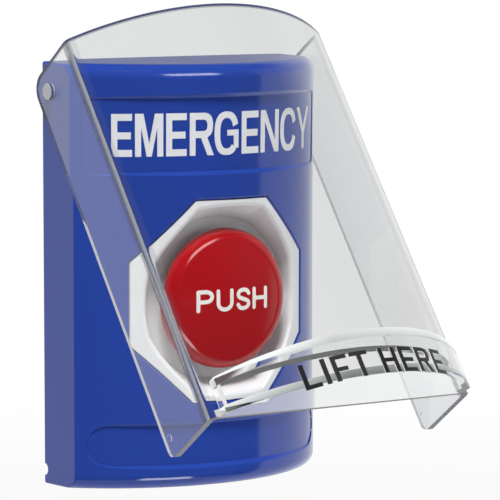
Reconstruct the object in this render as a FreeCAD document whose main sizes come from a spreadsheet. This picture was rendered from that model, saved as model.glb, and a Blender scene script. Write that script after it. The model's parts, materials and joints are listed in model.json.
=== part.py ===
import FreeCAD, Part
import math
import os
import Sketcher

# Emergency button station: a blue housing with a crowned front, a red mushroom button in a
# white octagonal dish, and a clear cover that lifts on two pins near the top of the sides.
# +X is to the right of a person who faces the station, -Y is towards that person, +Z is up.
# The origin is on the wall plane, in the middle of the housing's back. Sizes are in mm.

doc = FreeCAD.newDocument("ButtonStation")
Vec = FreeCAD.Vector

sizes = {
    # housing
    "housing_width": 82.4,
    "housing_height": 121.0,
    "side_depth": 16.5,
    "crown_depth": 36.2,
    "housing_wall": 2.4,
    "front_draft": 1.1,
    "edge_round": 4.0,
    "corner_round": 0.8,
    "notch_radius": 1.7,
    "notch_height": -56.3,
    # shallow recesses across the front, for words above and below the button
    "recess_depth": 1.2,
    "recess_end_depth": 0.3,
    "recess_slope": 1.1,
    "recess_margin": 1.7,
    "upper_band_height": 22.8,
    "upper_band_middle": 40.0,
    "upper_band_corner": 2.5,
    "lower_band_height": 13.6,
    "lower_band_middle": -47.3,
    "lower_band_corner": 6.0,
    # octagonal plate and the dish in it
    "octagon_width": 57.0,
    "octagon_middle": -7.0,
    "octagon_gap": 0.15,
    "octagon_edge": 0.7,
    "plate_setback": 0.3,
    "plate_thickness": 2.0,
    "dish_depth": 26.4,
    "dish_inset": 5.35,
    "rim_land": 1.5,
    "rim_round": 1.3,
    # button and its operator
    "button_diameter": 40.0,
    "button_thickness": 5.9,
    "button_rim_gap": 0.6,
    "button_edge": 3.7,
    "button_skin": 2.6,
    "button_skirt": 2.8,
    "button_travel": 3.0,
    "boss_radius": 9.0,
    "boss_gap": 0.3,
    "stem_radius": 6.0,
    "running_gap": 0.06,
    "spigot_radius": 4.0,
    "spigot_length": 2.4,
    "sleeve_radius": 11.0,
    "seat_gap": 0.1,
    "flange_radius": 14.0,
    "flange_thickness": 1.3,
    "sleeve_back": 16.0,
    "spring_seat": 18.5,
    "spring_bore": 8.6,
    "spring_wire": 0.55,
    "spring_turns": 6.0,
    "washer_thickness": 0.8,
    "washer_radius": 14.6,
    "nut_radius": 15.6,
    "nut_thickness": 4.0,
    "nut_notch": 3.2,
    "disc_radius": 10.0,
    "disc_thickness": 1.6,
    "disc_gap": 0.3,
    # contact blocks behind the operator
    "carrier_width": 42.0,
    "carrier_height": 36.0,
    "carrier_bore": 11.6,
    "block_front": 8.5,
    "block_back": 1.7,
    "block_width": 18.0,
    "block_height": 38.0,
    "block_space": 1.0,
    "plunger_radius": 1.8,
    "plunger_offset": 6.5,
    "plunger_end": 6.5,
    "plunger_room": 0.5,
    "clamp_width": 7.0,
    "clamp_depth": 5.0,
    "clamp_thickness": 1.0,
    "clamp_spacing": 8.6,
    "terminal_head": 2.3,
    "terminal_head_height": 1.5,
    "terminal_shank": 1.5,
    "terminal_length": 4.5,
    # back plate and the screws that hold the housing to it
    "plate_gauge": 1.4,
    "plate_clearance": 0.6,
    "plate_corner": 4.0,
    "window_width": 50.0,
    "window_height": 52.0,
    "box_screw_spacing": 83.3,
    "box_slot_radius": 2.2,
    "box_slot_length": 9.0,
    "ear_width": 12.0,
    "ear_depth": 10.0,
    "ear_offset": 24.0,
    "ear_gap": 0.2,
    "screw_depth": 6.0,
    "screw_radius": 1.5,
    "screw_head": 2.9,
    "screw_head_height": 1.5,
    "screw_length": 7.0,
    "screw_sink": 1.8,
    "screw_gap": 0.15,
    # clear cover, measured from its pivot while it is closed
    "lift_angle": 36.3,
    "pivot_depth": 6.3,
    "pivot_below_top": 8.3,
    "cover_gap": 0.3,
    "cover_wall": 2.0,
    "cover_rear": 5.5,
    "cover_front": 16.8,
    "cover_crown": 33.5,
    "cover_top": 6.0,
    "cover_bottom": 115.4,
    "cover_heel": 5.3,
    "cover_toe": 2.5,
    "cover_corner": 3.0,
    "lip_crown": 42.0,
    "lip_top": 105.4,
    "lip_drop": 3.5,
    "lip_floor": 2.4,
    "lip_shelf": 2.0,
    "lip_step": 2.4,
    "nub_radius": 1.0,
    "nub_height": 0.2,
    "nub_inset": 1.7,
    "nub_rise": 5.8,
    "pin_radius": 2.35,
    "pin_head_radius": 3.6,
    "pin_head_thickness": 1.5,
    "pin_fit": 0.03,
}

sheet = doc.addObject("Spreadsheet::Sheet", "Sizes")
for row, (alias, number) in enumerate(sizes.items(), start=1):
    sheet.set(f"A{row}", alias)
    sheet.set(f"B{row}", str(number))
    sheet.setAlias(f"B{row}", alias)
doc.recompute()


class Size:
    """A number together with the sheet expression that gives it."""

    def __init__(self, number, text):
        self.number = number
        self.text = text

    def join(self, other, sign, number):
        return Size(number, f"({self.text} {sign} {as_text(other)})")

    def __add__(self, other):
        return self.join(other, "+", self.number + as_number(other))

    def __sub__(self, other):
        return self.join(other, "-", self.number - as_number(other))

    def __mul__(self, other):
        return self.join(other, "*", self.number * as_number(other))

    def __truediv__(self, other):
        return self.join(other, "/", self.number / as_number(other))

    def __neg__(self):
        return Size(-self.number, f"(0 - {self.text})")


def as_number(value):
    return value.number if isinstance(value, Size) else float(value)


def as_text(value):
    return value.text if isinstance(value, Size) else str(value)


def size(alias):
    return Size(sizes[alias], f"Sizes.{alias}")


def root(value):
    return Size(math.sqrt(value.number), f"sqrt({value.text})")


def bow_radius(half_chord, rise):
    # radius of the arc that stands rise above the middle of a chord
    return (half_chord * half_chord + rise * rise) / (rise * 2)


def bow_depth(radius, crown, half_chord):
    # how far forward an arc with this crown is, half_chord away from its middle
    return crown - radius + root(radius * radius - half_chord * half_chord)


# Helpers for bodies, sketches and features


def bind(thing, name, value):
    if isinstance(value, Size):
        thing.setExpression(name, value.text)
    else:
        setattr(thing, name, value)


def new_body(label):
    body = doc.addObject("PartDesign::Body", label.title().replace("_", ""))
    body.Label = label
    return body


def origin_plane(body, role):
    return next(f for f in body.Origin.OriginFeatures if f.Role == role)


def new_sketch(body, role, name, offset=0):
    sketch = body.newObject("Sketcher::SketchObject", name)
    sketch.AttachmentSupport = [(origin_plane(body, role), "")]
    sketch.MapMode = "FlatFace"
    if isinstance(offset, Size):
        sketch.AttachmentOffset = FreeCAD.Placement(Vec(0, 0, offset.number), FreeCAD.Rotation())
        sketch.setExpression("AttachmentOffset.Base.z", offset.text)
    return sketch


def fix_point(sketch, edge, end, x, y):
    # holds one end of an edge, or a circle's centre, at x, y from the sketch's origin
    for kind, value, axis in (("DistanceX", x, -2), ("DistanceY", y, -1)):
        number = as_number(value)
        if abs(number) < 1e-9:
            sketch.addConstraint(Sketcher.Constraint("PointOnObject", edge, end, axis))
            continue
        ends = (-1, 1, edge, end) if number > 0 else (edge, end, -1, 1)
        index = sketch.addConstraint(Sketcher.Constraint(kind, *ends, abs(number)))
        if isinstance(value, Size):
            sketch.setExpression(f"Constraints[{index}]", as_text(value if number > 0 else -value))


def draw_circle(sketch, x, y, radius):
    circle = Part.Circle(Vec(as_number(x), as_number(y), 0), Vec(0, 0, 1), radius.number)
    edge = sketch.addGeometry(circle, False)
    fix_point(sketch, edge, 3, x, y)
    index = sketch.addConstraint(Sketcher.Constraint("Radius", edge, radius.number))
    sketch.setExpression(f"Constraints[{index}]", radius.text)


def draw_loop(sketch, corners, arcs=None):
    # corners are joined in order by lines, or by arcs where arcs gives a radius for that edge;
    # a positive radius bulges to the right of the way from corner to corner
    arcs = arcs or {}
    points = [Vec(as_number(x), as_number(y), 0) for x, y in corners]
    edges = []
    for i, start in enumerate(points):
        stop = points[(i + 1) % len(points)]
        if i not in arcs:
            edges.append((sketch.addGeometry(Part.LineSegment(start, stop), False), 1, 2))
            continue
        radius, side = arcs[i]
        chord = stop - start
        half = chord.Length / 2
        rise = radius.number - math.sqrt(max(0.0, radius.number ** 2 - half ** 2))
        right = Vec(chord.y, -chord.x, 0).normalize()
        middle = (start + stop) / 2 + right * rise * side
        arc = Part.Arc(start, middle, stop).toShape().Curve
        first, last = arc.parameter(start), arc.parameter(stop)
        turned = arc.Axis.z < 0
        circle = Part.Circle(arc.Center, Vec(0, 0, 1), arc.Radius)
        first, last = circle.parameter(start), circle.parameter(stop)
        if turned:
            first, last = last, first
        edge = sketch.addGeometry(Part.ArcOfCircle(circle, first, last), False)
        edges.append((edge, 2, 1) if turned else (edge, 1, 2))
        index = sketch.addConstraint(Sketcher.Constraint("Radius", edge, radius.number))
        sketch.setExpression(f"Constraints[{index}]", radius.text)
    for i, (edge, begin, _) in enumerate(edges):
        before, _, end = edges[i - 1]
        sketch.addConstraint(Sketcher.Constraint("Coincident", before, end, edge, begin))
        fix_point(sketch, edge, begin, *corners[i])


def draw_box(sketch, left, bottom, right, top):
    draw_loop(sketch, [(left, bottom), (right, bottom), (right, top), (left, top)])


def draw_rounded(sketch, left, bottom, right, top, corner):
    corners = [
        (left + corner, bottom),
        (right - corner, bottom),
        (right, bottom + corner),
        (right, top - corner),
        (right - corner, top),
        (left + corner, top),
        (left, top - corner),
        (left, bottom + corner),
    ]
    draw_loop(sketch, corners, {i: (corner, 1) for i in (1, 3, 5, 7)})


def draw_octagon(sketch, across, middle):
    half = across / 2
    short = half * math.tan(math.pi / 8)
    ring = [(short, -half), (half, -short), (half, short), (short, half)]
    ring += [(-x, -y) for x, y in ring]
    draw_loop(sketch, [(x, y + middle) for x, y in ring])


def extrude(body, kind, sketch, length, both=False, flip=False):
    feature = body.newObject("PartDesign::" + kind, kind + sketch.Name)
    feature.Profile = sketch
    feature.SideType = "Symmetric" if both else "One side"
    feature.Reversed = flip
    bind(feature, "Length", length)
    doc.recompute()
    return feature


def pad(body, sketch, length, both=False, flip=False):
    return extrude(body, "Pad", sketch, length, both, flip)


def pocket(body, sketch, length, both=False, flip=False):
    before = body.Shape.Volume
    feature = extrude(body, "Pocket", sketch, length, both, flip)
    if body.Shape.Volume > before - 1e-6:
        raise RuntimeError(f"{feature.Name} cuts nothing")
    return feature


def spin(body, sketch, role="Y_Axis"):
    feature = body.newObject("PartDesign::Revolution", "Spin" + sketch.Name)
    feature.Profile = sketch
    feature.ReferenceAxis = (origin_plane(body, role), [""])
    feature.Angle = 360
    doc.recompute()
    return feature


def combine(body, tool, kind, name):
    feature = body.newObject("PartDesign::Boolean", name)
    feature.Type = kind
    feature.setObjects([tool])
    doc.recompute()
    return feature


def dress_edges(body, kind, name, value, wanted):
    base = body.Tip
    names = [f"Edge{i}" for i, edge in enumerate(base.Shape.Edges, 1) if wanted(edge)]
    if not names:
        raise RuntimeError(f"{name} finds no edge")
    feature = body.newObject("PartDesign::" + kind, name)
    feature.Base = (base, names)
    bind(feature, "Radius" if kind == "Fillet" else "Size", value)
    doc.recompute()
    return feature


def round_edges(body, name, radius, wanted):
    return dress_edges(body, "Fillet", name, radius, wanted)


def bevel_edges(body, name, width, wanted):
    return dress_edges(body, "Chamfer", name, width, wanted)


def is_inside(edge, reach):
    # true for an edge that stays off the outline of the octagon with this reach
    first, last = edge.ParameterRange
    point = edge.valueAt((first + last) / 2)
    x, z = abs(point.x), abs(point.z - middle.number)
    return max(x, z, (x + z) / math.sqrt(2)) < reach


def on_arc(edge, radius, depth):
    # true for an edge that lies on the upright cylinder with this radius and crown depth
    middle_y = radius.number - depth.number
    first, last = edge.ParameterRange
    for share in (0, 0.37, 0.71, 1):
        point = edge.valueAt(first + (last - first) * share)
        if abs(math.hypot(point.x, point.y - middle_y) - radius.number) > 0.002:
            return False
    return True


def along(edge, direction):
    if not isinstance(edge.Curve, Part.Line):
        return False
    return edge.Curve.Direction.cross(direction).Length < 1e-6


def near(value, target, gap=0.05):
    return abs(value - as_number(target)) < gap


def group(label, master, places):
    # several copies of one small piece, kept as separate solids of one node
    feature = doc.addObject("Part::Feature", label.title().replace("_", ""))
    feature.Label = label
    copies = []
    for place in places:
        copy = master.Shape.copy()
        copy.Placement = place
        copies.append(copy)
    feature.Shape = Part.makeCompound(copies)
    return feature


# Sizes that several pieces share

half_width = size("housing_width") / 2
half_height = size("housing_height") / 2
wall = size("housing_wall")
crown = size("crown_depth")
front_radius = bow_radius(half_width, crown - size("side_depth"))
middle = size("octagon_middle")
pivot_level = half_height - size("pivot_below_top")
seat_depth = size("dish_depth") - size("plate_thickness")
well_back = seat_depth - wall
sleeve = size("sleeve_radius")
hole_radius = sleeve + size("seat_gap")
washer_back = well_back - size("washer_thickness")
nut_back = washer_back - size("nut_thickness")
inside_height = half_height - wall - size("front_draft")
flange_front = size("dish_depth") + size("flange_thickness")
boss_back = flange_front + size("button_travel") + size("boss_gap")


def front_blank(body, setback, height, inset, back):
    # the plan of the housing, set back from its front and sides, as one upright prism
    radius = front_radius - setback
    half = half_width - inset
    edge = -bow_depth(radius, crown - setback, half)
    sketch = new_sketch(body, "XY_Plane", "Plan" + body.Name)
    corners = [(half, back), (half, edge), (-half, edge), (-half, back)]
    draw_loop(sketch, corners, {1: (radius, -1)})
    return pad(body, sketch, height, both=True)


def housing_core():
    # the room inside the housing, around the well that holds the octagonal plate
    body = new_body("housing_core")
    front_blank(body, wall, inside_height * 2, wall, size("plate_setback"))
    well = new_sketch(body, "XZ_Plane", "CoreWell", well_back)
    draw_octagon(well, size("octagon_width") + wall * 2, middle)
    pocket(body, well, crown, flip=True)
    return body


def recess_cutter(place):
    # cuts a recess with round corners and sloped edges that gets shallow towards the sides
    body = new_body(place + "_recess")
    height = size(place + "_band_height")
    level = size(place + "_band_middle")
    half = half_width - size("recess_margin")
    low = level - height / 2
    floor_crown = crown - size("recess_depth")
    rear = bow_depth(front_radius, crown, half) - size("recess_end_depth")
    floor_radius = bow_radius(half, floor_crown - rear)
    outer = front_radius + size("recess_depth")
    fore = bow_depth(outer, crown + size("recess_depth"), half)
    sketch = new_sketch(body, "XY_Plane", "Band" + body.Name, low)
    corners = [(half, -rear), (half, -fore), (-half, -fore), (-half, -rear)]
    draw_loop(sketch, corners, {1: (outer, -1), 3: (floor_radius, 1)})
    pad(body, sketch, height)
    front = new_body(place + "_recess_front")
    outline = new_sketch(front, "XZ_Plane", "Outline" + front.Name)
    draw_rounded(outline, -half, low, half, low + height, size(place + "_band_corner"))
    pad(front, outline, crown * 2)
    combine(body, front, "Common", "Round" + body.Name)
    bevel_edges(
        body,
        "Slope" + body.Name,
        size("recess_slope"),
        lambda e: on_arc(e, floor_radius, floor_crown),
    )
    return body


def housing():
    body = new_body("housing")
    plan = new_sketch(body, "XY_Plane", "Plan")
    depth = size("side_depth")
    corners = [(half_width, 0), (half_width, -depth), (-half_width, -depth), (-half_width, 0)]
    draw_loop(plan, corners, {1: (front_radius, -1)})
    pad(body, plan, half_height * 2, both=True)

    # the top and bottom lean in towards the front, as a moulding has to
    lean = new_sketch(body, "YZ_Plane", "Lean")
    reach = -crown * 1.1
    for sign in (1, -1):
        edge = half_height * sign
        far = (half_height - size("front_draft")) * sign
        draw_loop(lean, [(0, edge), (reach, far), (reach, edge)])
    pocket(body, lean, half_width * 3, both=True)
    bow = half_height.number - size("front_draft").number - 1
    round_edges(
        body,
        "FrontEdges",
        size("edge_round"),
        lambda e: not isinstance(e.Curve, Part.Line) and abs(e.CenterOfMass.z) > bow,
    )
    round_edges(
        body,
        "SideCorners",
        size("corner_round"),
        lambda e: along(e, Vec(0, 0, 1)) and near(e.CenterOfMass.y, -depth),
    )

    combine(body, housing_core(), "Cut", "Hollow")
    well = new_sketch(body, "XZ_Plane", "Well", seat_depth)
    draw_octagon(well, size("octagon_width"), middle)
    pocket(body, well, crown, flip=True)
    bore = new_sketch(body, "XZ_Plane", "OperatorHole", well_back - wall)
    draw_circle(bore, 0, middle, hole_radius)
    pocket(body, bore, wall * 3, flip=True)

    bevel_edges(
        body,
        "OctagonEdge",
        size("octagon_edge"),
        lambda e: on_arc(e, front_radius, crown)
        and abs(e.CenterOfMass.z - middle.number) < size("octagon_width").number * 0.51,
    )
    for place in ("upper", "lower"):
        combine(body, recess_cutter(place), "Cut", place.title() + "Recess")

    holes = new_sketch(body, "YZ_Plane", "SideHoles")
    draw_circle(holes, 0, size("notch_height"), size("notch_radius"))
    pivot_hole = size("pin_radius") + size("pin_fit")
    draw_circle(holes, -size("pivot_depth"), pivot_level, pivot_hole)
    pocket(body, holes, half_width * 3, both=True)

    screws = new_sketch(body, "XY_Plane", "ScrewHoles", -inside_height + wall)
    for sign in (1, -1):
        radius = size("screw_radius") + size("screw_gap")
        draw_circle(screws, size("ear_offset") * sign, -size("screw_depth"), radius)
    pocket(body, screws, wall * 4)
    sinks = new_sketch(body, "XY_Plane", "ScrewSinks", -half_height + size("screw_sink"))
    for sign in (1, -1):
        radius = size("screw_head") + size("screw_gap")
        draw_circle(sinks, size("ear_offset") * sign, -size("screw_depth"), radius)
    pocket(body, sinks, wall)
    return body


def bezel_plate():
    # the white octagon: its rim follows the crowned front and its middle is a round dish
    body = new_body("bezel_plate")
    across = size("octagon_width") - size("octagon_gap") * 2
    blank = new_sketch(body, "XZ_Plane", "Octagon", seat_depth)
    draw_octagon(blank, across, middle)
    pad(body, blank, crown - seat_depth)
    shell = new_body("front_shell")
    front_blank(shell, size("plate_setback"), half_height * 2, wall, size("plate_setback"))
    combine(body, shell, "Common", "Crowned")

    half = across / 2 - size("rim_land")
    short = half * math.tan(math.pi / 8)
    floor = across / 2 - size("dish_inset")
    turn = Size(math.cos(math.pi / 8), str(math.cos(math.pi / 8)))
    lean = Size(math.sin(math.pi / 8), str(math.sin(math.pi / 8)))
    wide = floor * turn
    slim = floor * lean
    dish_floor = new_sketch(body, "XZ_Plane", "DishFloor", size("dish_depth"))
    ring = [(slim, -wide), (wide, -slim), (wide, slim), (slim, wide)]
    ring += [(-x, -y) for x, y in ring]
    draw_loop(dish_floor, [(x, y + middle) for x, y in ring], {i: (floor, 1) for i in range(8)})
    dish_rim = new_sketch(body, "XZ_Plane", "DishRim", crown)
    ring = [(short, -half), (half, -short), (half, short), (short, half)]
    ring += [(-x, -y) for x, y in ring]
    draw_loop(dish_rim, [(x, y + middle) for x, y in ring])
    dish = body.newObject("PartDesign::SubtractiveLoft", "Dish")
    dish.Profile = dish_floor
    dish.Sections = [dish_rim]
    dish.Ruled = True
    doc.recompute()
    setback = size("plate_setback")
    round_edges(
        body,
        "DishRimRound",
        size("rim_round"),
        lambda e: on_arc(e, front_radius - setback, crown - setback)
        and is_inside(e, across.number / 2 * 0.999),
    )

    bore = new_sketch(body, "XZ_Plane", "SleeveHole", well_back)
    draw_circle(bore, 0, middle, hole_radius)
    pocket(body, bore, crown, flip=True)
    return body


def turned(label, corners, level=middle, arcs=None):
    # a piece turned about the button's axis; corners are (radius, depth in front of the wall)
    body = new_body(label)
    profile = new_sketch(body, "XY_Plane", "Turned" + body.Name)
    draw_loop(profile, [(radius, -depth) for radius, depth in corners], arcs)
    spin(body, profile)
    bind_height(body, level)
    return body


def bind_height(body, level):
    body.Placement = FreeCAD.Placement(Vec(0, 0, level.number), FreeCAD.Rotation())
    body.setExpression("Placement.Base.z", level.text)


def button_head():
    rim = size("button_diameter") / 2
    back = size("dish_depth") + size("button_travel") + size("button_rim_gap")
    face = back + size("button_thickness")
    skin = size("button_skin")
    edge = size("button_edge")
    dome = size("button_diameter") * 2
    shoulder = bow_depth(dome, face, rim - edge)
    inner = rim - size("button_skirt")
    boss = size("boss_radius")
    corners = [
        (0, face),
        (rim - edge, shoulder),
        (rim, shoulder - edge),
        (rim, back),
        (inner, back),
        (inner, bow_depth(dome - skin, face - skin, inner)),
        (boss, bow_depth(dome - skin, face - skin, boss)),
        (boss, boss_back),
        (size("spigot_radius"), boss_back),
        (size("spigot_radius"), boss_back + size("spigot_length")),
        (0, boss_back + size("spigot_length")),
    ]
    return turned("button_head", corners, arcs={0: (dome, 1), 1: (edge, 1), 5: (dome - skin, -1)})


def button_stem():
    tail = size("sleeve_back") - size("disc_gap")
    radius = size("stem_radius")
    spigot = size("spigot_radius")
    corners = [
        (0, boss_back + size("spigot_length")),
        (spigot, boss_back + size("spigot_length")),
        (spigot, boss_back),
        (radius, boss_back),
        (radius, tail),
        (0, tail),
    ]
    return turned("button_stem", corners)


def pusher_disc():
    tail = size("sleeve_back") - size("disc_gap")
    radius = size("disc_radius")
    thickness = size("disc_thickness")
    corners = [(0, tail), (radius, tail), (radius, tail - thickness), (0, tail - thickness)]
    return turned("pusher_disc", corners)


def guide_sleeve():
    floor = size("dish_depth")
    flange = size("flange_radius")
    back = size("sleeve_back")
    bore = size("stem_radius") + size("running_gap")
    seat = size("spring_seat")
    pocket_radius = size("spring_bore")
    corners = [
        (pocket_radius, flange_front),
        (flange, flange_front),
        (flange, floor),
        (sleeve, floor),
        (sleeve, back),
        (bore, back),
        (bore, seat),
        (pocket_radius, seat),
    ]
    return turned("guide_sleeve", corners)


def lock_washer():
    outer = size("washer_radius")
    corners = [
        (hole_radius, well_back),
        (outer, well_back),
        (outer, washer_back),
        (hole_radius, washer_back),
    ]
    return turned("lock_washer", corners)


def panel_nut():
    outer = size("nut_radius")
    bore = sleeve + size("pin_fit")
    corners = [(bore, washer_back), (outer, washer_back), (outer, nut_back), (bore, nut_back)]
    body = turned("panel_nut", corners)
    # six spanner notches round the rim
    notch = new_sketch(body, "XZ_Plane", "Notch", nut_back)
    half = size("nut_notch") / 2
    draw_box(notch, outer - half, -half, outer + half, half)
    cut = pocket(body, notch, size("nut_thickness"), flip=True)
    ring = body.newObject("PartDesign::PolarPattern", "Notches")
    ring.Originals = [cut]
    ring.Axis = (origin_plane(body, "Y_Axis"), [""])
    ring.Angle = 360
    ring.Occurrences = 6
    body.Tip = ring
    doc.recompute()
    return body


def return_spring():
    # a compression spring between the sleeve's shoulder and the head's boss
    body = new_body("return_spring")
    wire = size("spring_wire")
    coil = (size("spring_bore") + size("stem_radius")) / 2
    start = size("spring_seat") + wire
    section = new_sketch(body, "XY_Plane", "Wire")
    draw_circle(section, coil, -start, wire)
    helix = body.newObject("PartDesign::AdditiveHelix", "Coil")
    helix.Profile = section
    helix.ReferenceAxis = (origin_plane(body, "Y_Axis"), [""])
    helix.Mode = "height-turns-angle"
    helix.Reversed = True
    helix.setExpression("Turns", size("spring_turns").text)
    helix.setExpression("Height", (boss_back - start - wire).text)
    doc.recompute()
    bind_height(body, middle)
    return body


def block_carrier():
    body = new_body("block_carrier")
    half = size("carrier_width") / 2
    tall = size("carrier_height") / 2
    front = size("block_front")
    plan = new_sketch(body, "XZ_Plane", "Frame", front)
    draw_box(plan, -half, middle - tall, half, middle + tall)
    pad(body, plan, nut_back - front)
    room = new_sketch(body, "XZ_Plane", "DiscRoom", front)
    draw_circle(room, 0, middle, size("carrier_bore"))
    pocket(body, room, size("sleeve_back") - front, flip=True)
    bore = new_sketch(body, "XZ_Plane", "SleeveBore", front)
    draw_circle(bore, 0, middle, sleeve + size("pin_fit"))
    pocket(body, bore, nut_back, flip=True)
    round_edges(body, "FrameCorners", wall, lambda e: along(e, Vec(0, 1, 0)))
    return body


def contact_block(side, sign):
    body = new_body("contact_block_" + side)
    near_edge = size("block_space") / 2 * sign
    far_edge = (size("block_space") / 2 + size("block_width")) * sign
    tall = size("block_height") / 2
    back = size("block_back")
    front = size("block_front")
    plan = new_sketch(body, "XZ_Plane", "Block" + side, back)
    draw_box(plan, near_edge, middle - tall, far_edge, middle + tall)
    pad(body, plan, front - back)
    hole = new_sketch(body, "XZ_Plane", "PlungerHole" + side, front)
    radius = size("plunger_radius") + size("running_gap")
    draw_circle(hole, size("plunger_offset") * sign, middle, radius)
    plunger_floor = size("plunger_end") - size("button_travel") - size("plunger_room")
    pocket(body, hole, front - plunger_floor)

    # tapped holes for the terminal screws in the top and bottom ends
    depth = -(front + back) / 2
    centre = (size("block_space") + size("block_width")) / 2 * sign
    for end in (1, -1):
        name = f"{side}{'Lower' if end < 0 else 'Upper'}"
        taps = new_sketch(body, "XY_Plane", "Taps" + name, middle + tall * end)
        for way in (1, -1):
            x = centre + size("clamp_spacing") / 2 * way
            draw_circle(taps, x, depth, size("terminal_shank") + size("pin_fit"))
        pocket(body, taps, size("terminal_length"), flip=end < 0)
    return body


def plunger(side, sign):
    # a round pin that the disc pushes into its contact block
    feature = doc.addObject("Part::Cylinder", "Plunger" + side.title())
    feature.Label = "plunger_" + side
    front = size("sleeve_back") - size("disc_gap") - size("disc_thickness")
    feature.setExpression("Radius", size("plunger_radius").text)
    feature.setExpression("Height", (front - size("plunger_end")).text)
    turn = FreeCAD.Rotation(Vec(1, 0, 0), 90)
    feature.Placement = FreeCAD.Placement(Vec(0, 0, 0), turn)
    feature.setExpression("Placement.Base.x", (size("plunger_offset") * sign).text)
    feature.setExpression("Placement.Base.y", (-size("plunger_end")).text)
    feature.setExpression("Placement.Base.z", middle.text)
    doc.recompute()
    return feature


def terminal_screw():
    # cheese-head screw along Z with its head above the origin
    body = new_body("terminal_screw")
    head = size("terminal_head")
    shank = size("terminal_shank")
    height = size("terminal_head_height")
    length = size("terminal_length") - size("seat_gap")
    profile = new_sketch(body, "XZ_Plane", "ScrewProfile")
    corners = [(0, -length), (shank, -length), (shank, 0), (head, 0), (head, height), (0, height)]
    draw_loop(profile, corners)
    spin(body, profile, "Z_Axis")
    slot = new_sketch(body, "XY_Plane", "Slot", height / 2)
    draw_box(slot, -head * 2, -height / 4, head * 2, height / 4)
    pocket(body, slot, height, flip=True)
    return body


def terminal_clamp():
    body = new_body("terminal_clamp")
    half = size("clamp_width") / 2
    deep = size("clamp_depth") / 2
    plan = new_sketch(body, "XY_Plane", "ClampPlan")
    draw_box(plan, -half, -deep, half, deep)
    draw_circle(plan, 0, 0, size("terminal_shank") + size("pin_fit"))
    pad(body, plan, size("clamp_thickness"))
    return body


def terminal_places(lift):
    # the places of the four terminals, lift above the end faces of the contact blocks
    places = []
    depth = -(size("block_front") + size("block_back")) / 2
    centre = (size("block_space") + size("block_width")) / 2
    for sign in (1, -1):
        for way in (1, -1):
            x = (centre + size("clamp_spacing") / 2 * way) * sign
            for end in (1, -1):
                z = middle + (size("block_height") / 2 + lift) * end
                turn = FreeCAD.Rotation(Vec(1, 0, 0), 0 if end > 0 else 180)
                spot = Vec(x.number, depth.number, z.number)
                places.append(FreeCAD.Placement(spot, turn))
    return places


def back_plate():
    # a folded steel plate with slots for the wall box and two ears that take the housing screws
    body = new_body("back_plate")
    half = half_width - wall - size("plate_clearance")
    tall = inside_height - size("plate_clearance")
    gauge = size("plate_gauge")
    plan = new_sketch(body, "XZ_Plane", "PlatePlan")
    draw_box(plan, -half, -tall, half, tall)
    pad(body, plan, gauge)
    round_edges(body, "PlateCorners", size("plate_corner"), lambda e: along(e, Vec(0, 1, 0)))
    window = new_sketch(body, "XZ_Plane", "WireWindow", gauge)
    wide = size("window_width") / 2
    high = size("window_height") / 2
    draw_box(window, -wide, middle - high, wide, middle + high)
    pocket(body, window, gauge)
    slots = new_sketch(body, "XZ_Plane", "BoxSlots", gauge)
    radius = size("box_slot_radius")
    reach = size("box_slot_length") / 2 - radius
    for sign in (1, -1):
        level = size("box_screw_spacing") / 2 * sign
        corners = [
            (radius, level - reach),
            (radius, level + reach),
            (0, level + reach + radius),
            (-radius, level + reach),
            (-radius, level - reach),
            (0, level - reach - radius),
        ]
        draw_loop(slots, corners, {i: (radius, 1) for i in (1, 2, 4, 5)})
    pocket(body, slots, gauge)
    ear_low = -inside_height + size("ear_gap")
    ears = new_sketch(body, "XY_Plane", "Ears", ear_low)
    wide = size("ear_width") / 2
    for sign in (1, -1):
        x = size("ear_offset") * sign
        draw_box(ears, x - wide, -size("ear_depth"), x + wide, 0)
    pad(body, ears, gauge)
    holes = new_sketch(body, "XY_Plane", "EarHoles", ear_low + gauge)
    for sign in (1, -1):
        x = size("ear_offset") * sign
        draw_circle(holes, x, -size("screw_depth"), size("screw_radius") + size("pin_fit"))
    pocket(body, holes, gauge)
    return body


def housing_screw():
    # flat-topped screw along Z, driven up from below, head at the origin
    body = new_body("housing_screw")
    head = size("screw_head")
    shank = size("screw_radius")
    height = size("screw_head_height")
    length = size("screw_length")
    profile = new_sketch(body, "XZ_Plane", "FixingProfile")
    corners = [(0, 0), (head, 0), (head, height), (shank, height), (shank, length), (0, length)]
    draw_loop(profile, corners)
    spin(body, profile, "Z_Axis")
    return body


def screw_places():
    places = []
    for sign in (1, -1):
        x = size("ear_offset").number * sign
        z = size("screw_sink") - half_height - size("screw_head_height")
        spot = Vec(x, -size("screw_depth").number, z.number)
        places.append(FreeCAD.Placement(spot, FreeCAD.Rotation()))
    return places


# The cover is drawn closed, about its pivot, and then turned up by the lift angle

cover_half = half_width + size("cover_gap") + size("cover_wall")
cover_inner = cover_half - size("cover_wall")
cover_radius = bow_radius(cover_half, size("cover_crown") - size("cover_front"))
lip_half = cover_half - size("cover_corner")
lip_edge = bow_depth(cover_radius, size("cover_crown"), lip_half) + size("lip_step")
lip_radius = bow_radius(lip_half, size("lip_crown") - lip_edge)
lip_bottom = size("cover_bottom") + size("lip_drop")


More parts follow.
